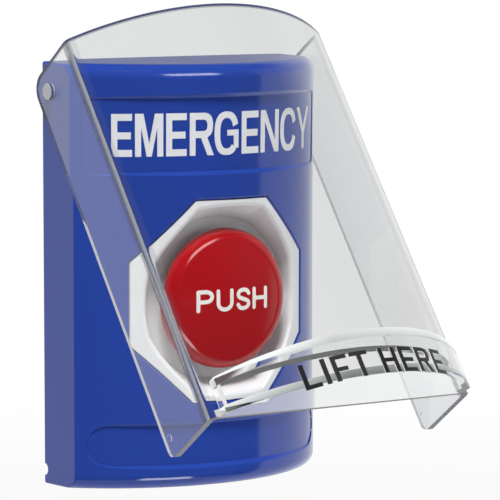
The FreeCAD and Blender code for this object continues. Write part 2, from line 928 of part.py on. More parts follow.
def cover_core():
    # the room inside the cover: open at the back and top, deeper inside the lip
    body = new_body("cover_core")
    thick = size("cover_wall")
    rear = size("cover_rear") * 2
    radius = cover_radius - thick
    edge = -bow_depth(radius, size("cover_crown") - thick, cover_inner)
    shelf = -size("lip_top") - size("lip_shelf")
    upper = new_sketch(body, "XY_Plane", "UpperRoom", -lip_bottom)
    corners = [(cover_inner, rear), (cover_inner, edge), (-cover_inner, edge), (-cover_inner, rear)]
    draw_loop(upper, corners, {1: (radius, -1)})
    pad(body, upper, lip_bottom + size("cover_top") + rear)
    across = cover_inner.number * 0.98
    round_edges(
        body,
        "RoomCorners",
        size("cover_corner") - thick,
        lambda e: along(e, Vec(0, 0, 1)) and e.CenterOfMass.y < 0 and abs(e.CenterOfMass.x) > across,
    )
    radius = lip_radius - thick
    half = lip_half - thick
    edge = -bow_depth(radius, size("lip_crown") - thick, half)
    lower = new_sketch(body, "XY_Plane", "LipRoom", shelf)
    corners = [(half, rear), (half, edge), (-half, edge), (-half, rear)]
    draw_loop(lower, corners, {1: (radius, -1)})
    pad(body, lower, lip_bottom, flip=True)
    # the lip's floor slopes down to the front and stops at the side walls' front edges
    floor = new_sketch(body, "YZ_Plane", "LipFloor")
    back = -size("cover_front")
    front = -size("lip_crown")
    slope = size("lip_drop") / (size("lip_crown") - size("cover_front"))
    beyond = front - rear
    low = -size("cover_bottom") + size("lip_floor") + slope * (beyond - back)
    deep = -lip_bottom * 2
    corners = [
        (back, -size("cover_bottom") + size("lip_floor")),
        (beyond, low),
        (beyond, deep),
        (back, deep),
    ]
    draw_loop(floor, corners)
    pocket(body, floor, cover_half * 3, both=True)
    return body


def cover():
    body = new_body("cover")
    front = size("cover_front")
    rear = size("cover_rear")
    plan = new_sketch(body, "XY_Plane", "CoverPlan", -size("cover_bottom"))
    corners = [(cover_half, rear), (cover_half, -front), (-cover_half, -front), (-cover_half, rear)]
    draw_loop(plan, corners, {1: (cover_radius, -1)})
    pad(body, plan, size("cover_bottom") + size("cover_top"))
    upright = Vec(0, 0, 1)
    round_edges(
        body,
        "CoverCorners",
        size("cover_corner"),
        lambda e: along(e, upright) and near(e.CenterOfMass.y, -front),
    )
    lip = new_sketch(body, "XY_Plane", "LipPlan", -lip_bottom)
    corners = [(lip_half, -front), (lip_half, -lip_edge), (-lip_half, -lip_edge), (-lip_half, -front)]
    draw_loop(lip, corners, {1: (lip_radius, -1)})
    pad(body, lip, lip_bottom - size("lip_top"))
    # the underside of the lip slopes down to the front
    slope = new_sketch(body, "YZ_Plane", "LipSlope")
    fall = size("lip_drop") / (size("lip_crown") - front)
    beyond = -size("lip_crown") - rear
    low = -size("cover_bottom") + fall * (beyond + front)
    behind = rear * 2
    corners = [
        (behind, -size("cover_bottom")),
        (-front, -size("cover_bottom")),
        (beyond, low),
        (beyond, -lip_bottom * 2),
        (behind, -lip_bottom * 2),
    ]
    draw_loop(slope, corners)
    pocket(body, slope, cover_half * 3, both=True)
    combine(body, cover_core(), "Cut", "CoverRoom")

    across = Vec(1, 0, 0)
    top = size("cover_top")
    bottom = -size("cover_bottom")
    round_edges(
        body,
        "Heel",
        size("cover_heel"),
        lambda e: along(e, across) and near(e.CenterOfMass.y, rear) and near(e.CenterOfMass.z, top),
    )
    round_edges(
        body,
        "Toe",
        size("cover_toe"),
        lambda e: along(e, across) and near(e.CenterOfMass.y, rear) and near(e.CenterOfMass.z, bottom),
    )
    holes = new_sketch(body, "YZ_Plane", "PivotHoles")
    draw_circle(holes, 0, 0, size("pin_radius") + size("running_gap"))
    pocket(body, holes, cover_half * 3, both=True)

    # small nubs inside the side walls that click past the housing when the cover is shut
    nub = new_sketch(body, "YZ_Plane", "Nub", cover_inner - size("nub_height"))
    nub_back = size("cover_rear") - size("nub_inset")
    draw_circle(nub, nub_back, size("nub_rise") - size("cover_bottom"), size("nub_radius"))
    raised = pad(body, nub, size("nub_height") + size("cover_wall") / 2)
    pair = body.newObject("PartDesign::Mirrored", "Nubs")
    pair.Originals = [raised]
    pair.MirrorPlane = (origin_plane(body, "YZ_Plane"), [""])
    body.Tip = pair
    doc.recompute()

    turn = FreeCAD.Rotation(Vec(1, 0, 0), -size("lift_angle").number)
    spot = Vec(0, -size("pivot_depth").number, pivot_level.number)
    body.Placement = FreeCAD.Placement(spot, turn)
    body.setExpression("Placement.Base.y", (-size("pivot_depth")).text)
    body.setExpression("Placement.Base.z", pivot_level.text)
    body.setExpression("Placement.Rotation.Angle", (-size("lift_angle")).text)
    return body


def pivot_pin(side, sign):
    # headed pin, pressed through the housing's side from inside, flush with the cover
    body = new_body("pivot_pin_" + side)
    inner = (half_width - wall) * sign
    outer = cover_half * sign
    head = new_sketch(body, "YZ_Plane", "PinHead" + side, inner)
    draw_circle(head, -size("pivot_depth"), pivot_level, size("pin_head_radius"))
    pad(body, head, size("pin_head_thickness"), flip=sign > 0)
    shank = new_sketch(body, "YZ_Plane", "PinShank" + side, inner)
    draw_circle(shank, -size("pivot_depth"), pivot_level, size("pin_radius"))
    pad(body, shank, (outer - inner) * sign, flip=sign < 0)
    return body


nodes = [
    housing(),
    bezel_plate(),
    button_head(),
    button_stem(),
    pusher_disc(),
    guide_sleeve(),
    lock_washer(),
    panel_nut(),
    return_spring(),
    block_carrier(),
    contact_block("left", -1),
    contact_block("right", 1),
    plunger("left", -1),
    plunger("right", 1),
    group("terminal_screws", terminal_screw(), terminal_places(size("clamp_thickness"))),
    group("terminal_clamps", terminal_clamp(), terminal_places(0)),
    back_plate(),
    group("housing_screws", housing_screw(), screw_places()),
    cover(),
    pivot_pin("left", -1),
    pivot_pin("right", 1),
]
doc.recompute()

for thing in doc.Objects:
    if "Invalid" in thing.State or "Error" in thing.State:
        raise RuntimeError(f"{thing.Label} failed: {thing.State}")
for node in nodes:
    if node.Shape.isNull() or not node.Shape.isValid():
        raise RuntimeError(f"{node.Label} has no valid shape")

os.makedirs("parts", exist_ok=True)
for node in nodes:
    node.Shape.exportStep(os.path.join("parts", node.Label + ".step"))
    box = node.Shape.BoundBox
    print(f"{node.Label:22s} solids {len(node.Shape.Solids)} volume {node.Shape.Volume:10.1f}"
          f"  x {box.XMin:7.2f} {box.XMax:7.2f}  y {box.YMin:7.2f} {box.YMax:7.2f}"
          f"  z {box.ZMin:7.2f} {box.ZMax:7.2f}")
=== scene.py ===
import bpy
import bmesh
import json
import math
from mathutils import Matrix, Vector, geometry


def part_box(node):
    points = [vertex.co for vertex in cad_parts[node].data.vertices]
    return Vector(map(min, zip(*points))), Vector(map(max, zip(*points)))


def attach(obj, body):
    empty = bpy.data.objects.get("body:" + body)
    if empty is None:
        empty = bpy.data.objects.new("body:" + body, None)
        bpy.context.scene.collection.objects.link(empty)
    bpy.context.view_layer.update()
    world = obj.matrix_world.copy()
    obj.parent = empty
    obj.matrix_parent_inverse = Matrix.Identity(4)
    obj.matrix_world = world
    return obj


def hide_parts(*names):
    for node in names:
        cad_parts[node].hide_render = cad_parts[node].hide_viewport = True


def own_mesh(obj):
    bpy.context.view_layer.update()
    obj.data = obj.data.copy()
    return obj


# Emergency button station: finishes, lettering, studio and camera over the fixed frame.

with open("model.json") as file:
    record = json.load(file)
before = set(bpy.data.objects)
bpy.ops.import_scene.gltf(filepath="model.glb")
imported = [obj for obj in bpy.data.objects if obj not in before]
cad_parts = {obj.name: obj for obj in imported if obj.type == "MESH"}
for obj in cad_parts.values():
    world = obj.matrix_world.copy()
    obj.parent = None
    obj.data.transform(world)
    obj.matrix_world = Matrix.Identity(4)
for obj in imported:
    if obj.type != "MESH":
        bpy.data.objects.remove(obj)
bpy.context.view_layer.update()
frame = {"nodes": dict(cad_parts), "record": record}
nodes = frame["nodes"]
scene = bpy.context.scene
print("frame loaded:", len(nodes), "nodes")


class Link:
    # a socket that takes part in sums, products and comparisons with numbers and other sockets
    def __init__(self, paint, socket):
        self.paint = paint
        self.socket = socket

    def maths(self, operation, *terms):
        return self.paint.node("ShaderNodeMath", {"operation": operation}, dict(enumerate(terms)))

    def __add__(self, other):
        return self.maths("ADD", self, other)

    def __radd__(self, other):
        return self.maths("ADD", other, self)

    def __sub__(self, other):
        return self.maths("SUBTRACT", self, other)

    def __rsub__(self, other):
        return self.maths("SUBTRACT", other, self)

    def __mul__(self, other):
        return self.maths("MULTIPLY", self, other)

    def __rmul__(self, other):
        return self.maths("MULTIPLY", other, self)

    def __abs__(self):
        return self.maths("ABSOLUTE", self)

    def __gt__(self, other):
        return self.maths("GREATER_THAN", self, other)

    def most(self, other):
        return self.maths("MAXIMUM", self, other)

    def angle(self):
        # in radians, from a cosine
        return self.maths("ARCCOSINE", self)


class Paint:
    # one material, or the world, built node by node
    def __init__(self, name, tree=None):
        self.material = None
        if tree is None:
            self.material = bpy.data.materials.new(name)
            self.material.use_nodes = True
            tree = self.material.node_tree
        self.tree = tree
        self.tree.nodes.clear()

    def node(self, kind, settings, values, out=0):
        made = self.tree.nodes.new(kind)
        for key, value in settings.items():
            if key == "stops":
                ramp = made.color_ramp
                while len(ramp.elements) < len(value):
                    ramp.elements.new(0.5)
                for element, (place, colour) in zip(ramp.elements, value):
                    element.position = place
                    element.color = (*colour, 1) if len(colour) == 3 else colour
            else:
                setattr(made, key, value)
        for key, value in values.items():
            if isinstance(value, Link):
                self.tree.links.new(value.socket, made.inputs[key])
            else:
                made.inputs[key].default_value = value
        return Link(self, made.outputs[out])

    def finish(self, shader, kind="ShaderNodeOutputMaterial", inside=None):
        end = self.tree.nodes.new(kind)
        self.tree.links.new(shader.socket, end.inputs["Surface"])
        if inside:
            self.tree.links.new(inside.socket, end.inputs["Volume"])
        return self.material

    def place(self):
        return self.node("ShaderNodeTexCoord", {}, {}, out="Object")

    def ray(self, kind):
        return self.node("ShaderNodeLightPath", {}, {}, out=kind)

    def noise(self, scale, detail, place=None):
        values = {"Vector": place or self.place(), "Scale": scale, "Detail": detail}
        return self.node("ShaderNodeTexNoise", {}, values)

    def ramp(self, factor, stops):
        return self.node("ShaderNodeValToRGB", {"stops": stops}, {"Fac": factor})

    def mix(self, factor, first, second):
        values = {0: factor, 6: first, 7: second}
        return self.node("ShaderNodeMix", {"data_type": "RGBA"}, values, out=2)

    def bump(self, height, strength, distance):
        values = {"Height": height, "Strength": strength, "Distance": distance}
        return self.node("ShaderNodeBump", {}, values)

    def principled(self, values):
        return self.node("ShaderNodeBsdfPrincipled", {}, values)

    def along(self, vector, direction):
        # how far a vector reaches in a direction
        values = {0: vector, 1: direction}
        return self.node("ShaderNodeVectorMath", {"operation": "DOT_PRODUCT"}, values, out="Value")

    def rise(self, value, span, levels=(0.0, 1.0), shape="LINEAR"):
        # from one level to the other as the value crosses the span
        values = {0: value, 1: span[0], 2: span[1], 3: levels[0], 4: levels[1]}
        return self.node("ShaderNodeMapRange", {"interpolation_type": shape}, values)


def mouldedPlastic(name, finish):
    # a moulded surface: faint mottling, orange peel, and a little handling dullness
    paint = Paint(name)
    colour = finish["colour"]
    darkTone = tuple(c * (1 - finish["mottle"]) for c in colour)
    cloud = paint.noise(finish["cloudScale"], finish["cloudDetail"])
    peel = paint.noise(finish["peelScale"], finish["peelDetail"])
    shader = paint.principled({
        "Base Color": paint.mix(cloud, (*colour, 1), (*darkTone, 1)),
        "Roughness": finish["roughness"] + finish["roughnessSpread"] * (cloud - 0.5),
        "Normal": paint.bump(peel, finish["peelStrength"], finish["peelDepth"]),
        "IOR": finish["ior"],
    })
    return paint.finish(shader)


def metal(name, finish):
    # plated or drawn metal with fine streaks along one direction
    paint = Paint(name)
    stretched = paint.node(
        "ShaderNodeMapping", {}, {"Vector": paint.place(), "Scale": finish["stretch"]}
    )
    grain = paint.noise(finish["grainScale"], finish["grainDetail"], stretched)
    colour = finish["colour"]
    dark = tuple(c * finish["grainShade"] for c in colour)
    shader = paint.principled({
        "Base Color": paint.mix(grain, (*colour, 1), (*dark, 1)),
        "Metallic": 1.0,
        "Roughness": finish["roughness"] + finish["roughnessSpread"] * (grain - 0.5),
        "Normal": paint.bump(grain, finish["grainStrength"], finish["grainDepth"]),
    })
    return paint.finish(shader)


def clearPlastic(name, finish):
    # a clear moulding: it refracts, with faint flow marks and a trace of dust; along the edges of
    # its sides, beside the corners with the front and along the top of the front a dark opaque
    # finish is mixed in, painted shade for the dark look of thick edges
    paint = Paint(name)
    lift = math.radians(finish["lift"])
    up = (0, math.sin(lift), math.cos(lift))
    front = (0, -math.cos(lift), math.sin(lift))
    right = (1, 0, 0)
    facing = paint.node("ShaderNodeTexCoord", {}, {}, out="Normal")
    flank = paint.rise(abs(paint.along(facing, right)), finish["flankFacing"])
    forward = paint.rise(paint.along(facing, front), finish["frontFacing"])
    upright = 1 - paint.rise(paint.along(facing, up), finish["topFacing"])
    outer = paint.rise(abs(paint.along(paint.place(), right)), finish["outerStrip"])
    crest = upright * paint.rise(paint.along(paint.place(), up), finish["crestStrip"])
    corner = outer * flank * paint.rise(paint.along(paint.place(), front), finish["cornerStrip"])
    edges = finish["edgeShadeRear"] - (finish["edgeShadeRear"] - finish["edgeShadeFront"]) * forward
    paintedEdgeShade = outer * (1 - flank) * edges
    paintedEdgeShade = paintedEdgeShade.most(finish["edgeShadeCrest"] * crest).most(finish["edgeShadeCorner"] * corner)
    flow = paint.noise(finish["flowScale"], finish["flowDetail"])
    haze = paint.noise(finish["hazeScale"], finish["hazeDetail"])
    clear = paint.principled({
        "Base Color": (*finish["colour"], 1),
        "Roughness": finish["haze"] * haze,
        "IOR": finish["ior"],
        "Transmission Weight": 1.0,
        "Normal": paint.bump(flow, finish["flowStrength"], finish["flowDepth"]),
    })
    # painted shade: a dark opaque finish laid over the cover's edges by the masks above
    darkTone = paint.principled({
        "Base Color": (*finish["edgeShadeColour"], 1),
        "Roughness": finish["edgeShadeRoughness"],
    })
    shader = paint.node("ShaderNodeMixShader", {}, {0: paintedEdgeShade, 1: clear, 2: darkTone})
    dimming = {"Color": (*finish["inside"], 1), "Density": finish["density"]}
    return paint.finish(shader, inside=paint.node("ShaderNodeVolumeAbsorption", {}, dimming))


blueFinish = {
    "colour": (0.019, 0.054, 0.330),
    "mottle": 0.06,  # how much darker the clouds are
    "cloudScale": 60.0,
    "cloudDetail": 3.0,
    "peelScale": 900.0,
    "peelDetail": 2.0,
    "peelStrength": 0.05,
    "peelDepth": 0.0001,
    "roughness": 0.13,
    "roughnessSpread": 0.05,
    "ior": 1.5,
}
whiteFinish = dict(blueFinish, colour=(0.78, 0.78, 0.80), mottle=0.02, roughness=0.16)
redFinish = dict(blueFinish, colour=(0.40, 0.006, 0.010), mottle=0.05, roughness=0.15)
blackFinish = dict(blueFinish, colour=(0.018, 0.018, 0.020), roughness=0.4)
greyFinish = dict(blueFinish, colour=(0.22, 0.225, 0.235), roughness=0.45)
pinFinish = dict(blueFinish, colour=(0.50, 0.51, 0.55), roughness=0.35)
whiteInkFinish = dict(whiteFinish, colour=(0.74, 0.75, 0.77), roughness=0.4, peelStrength=0.01)
creamInkFinish = dict(whiteInkFinish, colour=(0.86, 0.83, 0.78))
# lighter grey for the sides of the lip's black letters: a painted highlight along their edges
paintedHighlightInkFinish = dict(whiteInkFinish, colour=(0.70, 0.71, 0.72))
blackInkFinish = dict(blueFinish, colour=(0.012, 0.012, 0.014), roughness=0.3)
zincFinish = {
    "colour": (0.60, 0.60, 0.57),
    "stretch": (1.0, 1.0, 12.0),
    "grainScale": 300.0,
    "grainDetail": 4.0,
    "grainShade": 0.82,
    "grainStrength": 0.08,
    "grainDepth": 0.0001,
    "roughness": 0.35,
    "roughnessSpread": 0.15,
}
springFinish = dict(zincFinish, colour=(0.55, 0.55, 0.56), roughness=0.22)
brassFinish = dict(zincFinish, colour=(0.74, 0.56, 0.26), roughness=0.3)
clearFinish = {
    "colour": (1.0, 1.0, 1.0),
    "inside": (0.80, 0.86, 0.85),  # what the plastic keeps of the light on its way through
    "density": 120.0,
    "flowScale": 25.0,
    "flowDetail": 1.0,
    "flowStrength": 0.05,
    "flowDepth": 0.0001,
    "hazeScale": 30.0,
    "hazeDetail": 3.0,
    "haze": 0.02,
    "ior": 1.5,
    "lift": 36.3,  # degrees that the cover stands open
    "outerStrip": (0.0412, 0.0418),  # metres to the right or left, where the sides' edges begin
    "crestStrip": (0.0437, 0.0440),  # metres along the open cover's upward axis
    "cornerStrip": (0.0502, 0.0508),  # metres along its forward axis
    "flankFacing": (0.75, 0.9),  # how squarely a face points sideways, to the front or up
    "frontFacing": (0.3, 0.6),
    "topFacing": (0.8, 0.95),
    # dark colour painted on the cover's edges, painted shade for the dark look of thick clear
    # plastic
    "edgeShadeColour": (0.09, 0.095, 0.13),
    "edgeShadeRoughness": 0.35,
    "edgeShadeRear": 0.8,  # shares of the painted edge shade
    "edgeShadeFront": 0.15,
    "edgeShadeCrest": 0.6,
    "edgeShadeCorner": 0.55,
}

finishes = {
    "blue_moulding": mouldedPlastic("blueMoulding", blueFinish),
    "white_moulding": mouldedPlastic("whiteMoulding", whiteFinish),
    "red_moulding": mouldedPlastic("redMoulding", redFinish),
    "black_moulding": mouldedPlastic("blackMoulding", blackFinish),
    "grey_moulding": mouldedPlastic("greyMoulding", greyFinish),
    "pin_grey": mouldedPlastic("pinGrey", pinFinish),
    "zinc": metal("zincPlate", zincFinish),
    "spring_steel": metal("springWire", springFinish),
    "brass_plate": metal("brassPlate", brassFinish),
    "clear_moulding": clearPlastic("clearMoulding", clearFinish),
}
whiteInk = mouldedPlastic("whiteInk", whiteInkFinish)
creamInk = mouldedPlastic("creamInk", creamInkFinish)
blackInk = mouldedPlastic("blackInk", blackInkFinish)
paintedHighlightInk = mouldedPlastic("paintedHighlightInk", paintedHighlightInkFinish)

for part in frame["record"]["subparts"]:
    shell = nodes[part["node"]]
    shell.data.materials.clear()
    shell.data.materials.append(finishes[part["material_slot"]])
coverShell = nodes["cover"]
coverShell.visible_diffuse = False  # light reaches what lies under the clear cover
coverShell.visible_glossy = False
coverShell.visible_shadow = False
print("finishes set")


def makePiece(name, shape, materials):
    # turns finished faces into a piece of the scene
    mesh = bpy.data.meshes.new(name)
    shape.to_mesh(mesh)
    shape.free()
    for material in materials:
        mesh.materials.append(material)
    piece = bpy.data.objects.new(name, mesh)
    scene.collection.objects.link(piece)
    return piece


# Lettering: each letter is a few overlapping strokes, one unit tall

strokes = {
    "ovalSteps": 24,
    "bendSteps": 6,
    "bandPower": 0.8,  # 1 bends as an ellipse does, less is squarer
    "capTurns": range(75, -90, -15),  # degrees round the end of a stroke
    "gridMargin": 1,  # millimetres
    "weld": 1e-5,
}


def bar(left, low, right, high):
    return [(left, low), (right, low), (right, high), (left, high)]


def beam(x0, y0, x1, y1, thick):
    # a slanted stroke with level ends
    return [(x0, y0), (x0 + thick, y0), (x1 + thick, y1), (x1, y1)]


def oval(middle, reach, start, end, power):
    # points along a squarish ellipse from one angle to another, in degrees
    points = []
    steps = strokes["ovalSteps"]
    for i in range(steps + 1):
        turn = math.radians(start + (end - start) * i / steps)
        x, y = math.cos(turn), math.sin(turn)
        x, y = (math.copysign(abs(c) ** power, c) for c in (x, y))
        points.append((middle[0] + reach[0] * x, middle[1] + reach[1] * y))
    return points


def band(middle, reach, stem, level, start, end):
    # a bent stroke, as wide as a stem at its sides and as a level bar at its top and bottom
    inner = (reach[0] - stem, reach[1] - level)
    power = strokes["bandPower"]
    return oval(middle, reach, start, end, power) + oval(middle, inner, end, start, power)


def roundStroke(line, half):
    # a stroke of even width with round ends along a line of points
    line = [Vector(p) for p in line]
    left, right = [], []
    for i, spot in enumerate(line):
        way = (line[min(i + 1, len(line) - 1)] - line[max(i - 1, 0)]).normalized()
        side = Vector((-way.y, way.x)) * half
        left.append(spot + side)
        right.append(spot - side)
    caps = []
    for spot, way in ((line[-1], line[-1] - line[-2]), (line[0], line[0] - line[1])):
        aim = math.atan2(way.y, way.x)
        turns = [aim + math.radians(turn) for turn in strokes["capTurns"]]
        caps.append([spot + Vector((math.cos(t), math.sin(t))) * half for t in turns])
    return left + caps[0] + right[::-1] + caps[1]


def smooth(points):
    # a flowing line through the points
    points = [Vector(p) for p in points]
    ends = [points[0] * 2 - points[1], *points, points[-1] * 2 - points[-2]]
    line = []
    for a, b, c, d in zip(ends, ends[1:], ends[2:], ends[3:]):
        for k in range(strokes["bendSteps"]):
            t = k / strokes["bendSteps"]
            squared = (a * 2 - b * 5 + c * 4 - d) * t * t
            cubed = (b * 3 - a - c * 3 + d) * t ** 3
            line.append((b * 2 + (c - a) * t + squared + cubed) / 2)
    return line + [points[-1]]


def boldLetter(letter, w, s, b):
    # strokes of an upright bold letter, w wide, with stems s wide and level bars b thick
    stem = bar(0, 0, s, 1)
    far = bar(w - s, 0, w, 1)
    top = bar(0, 1 - b, w, 1)
    foot = bar(0, 0, w, b)
    middle = (w / 2, 0.5)
    ring = (w / 2, 0.512)
    forms = {
        "C": [band(middle, ring, s * 1.05, b * 0.95, 17, 343)],
        "E": [stem, top, foot, bar(0, 0.49 - b / 2, w * 0.94, 0.49 + b / 2)],
        "F": [stem, top, bar(0, 0.45 - b / 2, w * 0.9, 0.45 + b / 2)],
        "G": [
            band(middle, ring, s * 1.05, b * 0.95, 20, 318),
            bar(w - s * 0.95, 0.15, w, 0.58),
            bar(w * 0.52, 0.58 - b * 0.85, w, 0.58),
        ],
        "H": [stem, far, bar(0, 0.51 - b / 2, w, 0.51 + b / 2)],
        "I": [stem],
        "L": [stem, foot],
        "M": [
            stem,
            far,
            beam(w / 2 - s * 0.41, 0, s * 0.56, 1, s * 0.82),
            beam(w / 2 - s * 0.41, 0, w - s * 1.38, 1, s * 0.82),
        ],
        "N": [stem, far, beam(w - s * 1.15, 0, s * 0.08, 1, s * 1.07)],
        "R": [
            stem,
            bar(0, 1 - b, w * 0.56, 1),
            bar(0, 0.41, w * 0.56, 0.41 + b),
            band((w * 0.55, 0.705), (w * 0.41, 0.295), s, b, -90, 90),
            beam(w - s * 1.15, 0, w * 0.43, 0.45, s * 1.15),
        ],
        "T": [top, bar((w - s) / 2, 0, (w + s) / 2, 1)],
        "Y": [
            bar((w - s) / 2, 0, (w + s) / 2, 0.43),
            beam(w / 2 - s * 0.56, 0.38, 0, 1, s * 1.12),
            beam(w / 2 - s * 0.56, 0.38, w - s * 1.12, 1, s * 1.12),
        ],
    }
    return forms[letter]


def roundLetter(letter, w, s, b):
    # strokes of a letter cut with a round tool, s wide; its level bars are as thick
    h, half = 1 - s, s / 2
    x = w - s
    bowl = oval((x * 0.5, h * 0.73), (x * 0.5, h * 0.27), 90, -90, 0.9)
    cup = oval((x * 0.5, h * 0.38), (x * 0.5, h * 0.38), 180, 360, 0.95)
    bends = [(0.96, 0.80), (0.80, 0.95), (0.50, 1.0), (0.18, 0.93), (0.04, 0.76), (0.16, 0.60)]
    bends += [(0.5, 0.5)] + [(1 - u, 1 - v) for u, v in bends[::-1]]
    forms = {
        "H": [[(0, 0), (0, h)], [(x, 0), (x, h)], [(0, h / 2), (x, h / 2)]],
        "P": [[(0, 0), (0, h)], [(0, h), *bowl, (0, h * 0.46)]],
        "S": [smooth([(x * u, h * v) for u, v in bends])],
        "U": [[(0, h), *cup, (x, h)]],
    }
    return [[(u + half, v + half) for u, v in roundStroke(line, half)] for line in forms[letter]]


def flatWord(word):
    # unites the strokes of a word into one flat sheet, in millimetres, and cuts it along a grid
    # of 1 mm, so that its triangles are small enough to follow a bent surface
    tall = word["height"]
    spots, edges, loops = [], [], []
    for letter, left, width in word["layout"]:
        for outline in word["letters"](letter, width / tall, word["stem"], word["bar"]):
            following = outline[1:] + outline[:1]
            area = sum(a[0] * b[1] - b[0] * a[1] for a, b in zip(outline, following))
            outline = outline if area > 0 else outline[::-1]
            start = len(spots)
            spots += [Vector((left + u * tall, (v - 0.5) * tall)) for u, v in outline]
            loops.append(list(range(start, len(spots))))
    reach = max(abs(p.x) for p in spots) + strokes["gridMargin"]
    rise = tall / 2 + strokes["gridMargin"]
    lines = [((k, -rise), (k, rise)) for k in range(-int(reach), int(reach) + 1)]
    lines += [((-reach, k), (reach, k)) for k in range(-int(rise), int(rise) + 1)]
    for ends in lines:
        edges.append((len(spots), len(spots) + 1))
        spots += [Vector(p) for p in ends]
    insideOnly = 1
    sheet = geometry.delaunay_2d_cdt(spots, edges, loops, insideOnly, strokes["weld"])
    points, faces, owners = sheet[0], sheet[2], sheet[5]
    inked = [face for face, loopsOver in zip(faces, owners) if loopsOver]
    return [(p.x, p.y, 0) for p in points], inked


def addWord(name, word, surface, inks, body):
    # thickens a flat word, lays it on a surface, and inks its face and its sides
    points, faces = flatWord(word)
    sheet = bpy.data.meshes.new(name + "Sheet")
    sheet.from_pydata(points, [], faces)
    shape = bmesh.new()
    shape.from_mesh(sheet)
    bpy.data.meshes.remove(sheet)
    loose = [v for v in shape.verts if not v.link_faces]
    bmesh.ops.delete(shape, geom=loose, context="VERTS")
    raised = bmesh.ops.extrude_face_region(shape, geom=shape.faces[:])
    for item in raised["geom"]:
        if isinstance(item, bmesh.types.BMVert):
            item.co.z = word["thickness"]
    bmesh.ops.recalc_face_normals(shape, faces=shape.faces[:])
    for face in shape.faces:
        face.material_index = 0 if min(v.co.z for v in face.verts) > 0 else 1
    for vertex in shape.verts:
        vertex.co = surface(*(vertex.co / 1000))
    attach(makePiece(name, shape, inks), body)


# The printed word on the floor of the upper recess

labelWord = {
    "letters": boldLetter,
    "layout": [  # letter, left edge and width in millimetres
        ("E", -35.5, 5.8),
        ("M", -28.9, 7.9),
        ("E", -20.2, 5.9),
        ("R", -13.4, 7.3),
        ("G", -5.9, 7.9),
        ("E", 3.1, 6.2),
        ("N", 10.2, 7.8),
        ("C", 18.8, 8.5),
        ("Y", 27.8, 9.8),
    ],
    "height": 12.0,
    "stem": 0.142,  # shares of the height
    "bar": 0.162,
    "thickness": 0.06,
    "middle": 0.0401,  # metres from here on: the word's level, and the floor's crown and radius
    "crown": 0.0350,
    "radius": 0.05496,
}


def onLabel(u, v, w):
    radius = labelWord["radius"] + w
    turn = u / labelWord["radius"]
    depth = labelWord["crown"] - labelWord["radius"] + radius * math.cos(turn)
    return Vector((radius * math.sin(turn), -depth, labelWord["middle"] + v))


addWord("labelWord", labelWord, onLabel, [whiteInk, whiteInk], "station")

# The cut and filled word on the button's face

buttonWord = {
    "letters": roundLetter,
    "layout": [("P", -12.0, 5.4), ("U", -5.7, 5.6), ("S", 0.8, 5.1), ("H", 6.6, 5.4)],
    "height": 6.4,
    "stem": 0.178,
    "bar": 0.2,
    "thickness": 0.05,
    "middle": -0.0070,
    "face": 0.0359,  # how far the domed face stands out, and its radius
    "radius": 0.080,
}


def onButton(u, v, w):
    dome = math.sqrt(buttonWord["radius"] ** 2 - u * u - v * v)
    depth = buttonWord["face"] - buttonWord["radius"] + dome + w
    return Vector((u, -depth, buttonWord["middle"] + v))


addWord("buttonWord", buttonWord, onButton, [creamInk, creamInk], "button")

# The raised words on the cover's lip, laid out closed and then lifted with the cover

lipWords = {
    "letters": boldLetter,
    "layout": [
        ("L", -25.1, 4.7),
        ("I", -19.1, 1.3),
        ("F", -16.3, 4.6),
        ("T", -10.8, 5.3),
        ("H", -2.0, 5.3),
        ("E", 4.5, 4.8),
        ("R", 10.5, 5.5),
        ("E", 17.1, 4.7),
    ],
    "height": 7.5,
    "stem": 0.175,
    "bar": 0.16,
    "thickness": 0.35,
    "drop": 0.1155,  # below the pivot, which the words' places start from
    "crown": 0.0420,
    "radius": 0.0506,
    "pivot": (0, -0.0063, 0.0522),
    "lift": clearFinish["lift"],
}


def onLip(u, v, w):
    radius = lipWords["radius"] + w
    turn = u / lipWords["radius"]
    depth = lipWords["crown"] - lipWords["radius"] + radius * math.cos(turn)
    closed = Vector((radius * math.sin(turn), -depth, v - lipWords["drop"]))
    lift = Matrix.Rotation(math.radians(-lipWords["lift"]), 3, "X")
    return lift @ closed + Vector(lipWords["pivot"])


# the letters' sides take the lighter grey ink, a painted highlight on the black letters' edges
addWord("lipWords", lipWords, onLip, [blackInk, paintedHighlightInk], "cover")
print("words laid on")

# Return spring: a lighter coil in the place of the CAD one

spring = {
    "wire": 0.00055,  # radius
    "turns": 6.0,
    "stepsPerTurn": 28,
    "sides": 10,
    "stroke": 0.003,
}


def wireRing(shape, middle, outward):
    # one ring of points around the wire
    ring = []
    for k in range(spring["sides"]):
        around = 2 * math.pi * k / spring["sides"]
        offset = outward * math.cos(around) + Vector((0, math.sin(around), 0))
        ring.append(shape.verts.new(middle + offset * spring["wire"]))
    return ring


def sprungCoil():
    low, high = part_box("return_spring")
    wire = spring["wire"]
    reach = (high[0] - low[0]) / 2 - wire
    rear, front = high[1] - wire, low[1] + wire
    level = (low[2] + high[2]) / 2
    steps = round(spring["turns"] * spring["stepsPerTurn"])
    shape = bmesh.new()
    rings = []
    for i in range(steps + 1):
        turn = 2 * math.pi * spring["turns"] * i / steps
        outward = Vector((math.cos(turn), 0, math.sin(turn)))
        middle = outward * reach + Vector((0, rear + (front - rear) * i / steps, level))
        rings.append(wireRing(shape, middle, outward))
    for before, after in zip(rings, rings[1:]):
        for k in range(spring["sides"]):
            shape.faces.new((before[k - 1], before[k], after[k], after[k - 1])).smooth = True
    for end in (rings[0], rings[-1]):
        shape.faces.new(end)
    bmesh.ops.recalc_face_normals(shape, faces=shape.faces)
    piece = makePiece("springCoil", shape, [finishes["spring_steel"]])
    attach(piece, "station")
    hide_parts("return_spring")
    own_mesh(piece)


sprungCoil()
print("spring made")

# Studio: a pale floor, a white surround and soft panels

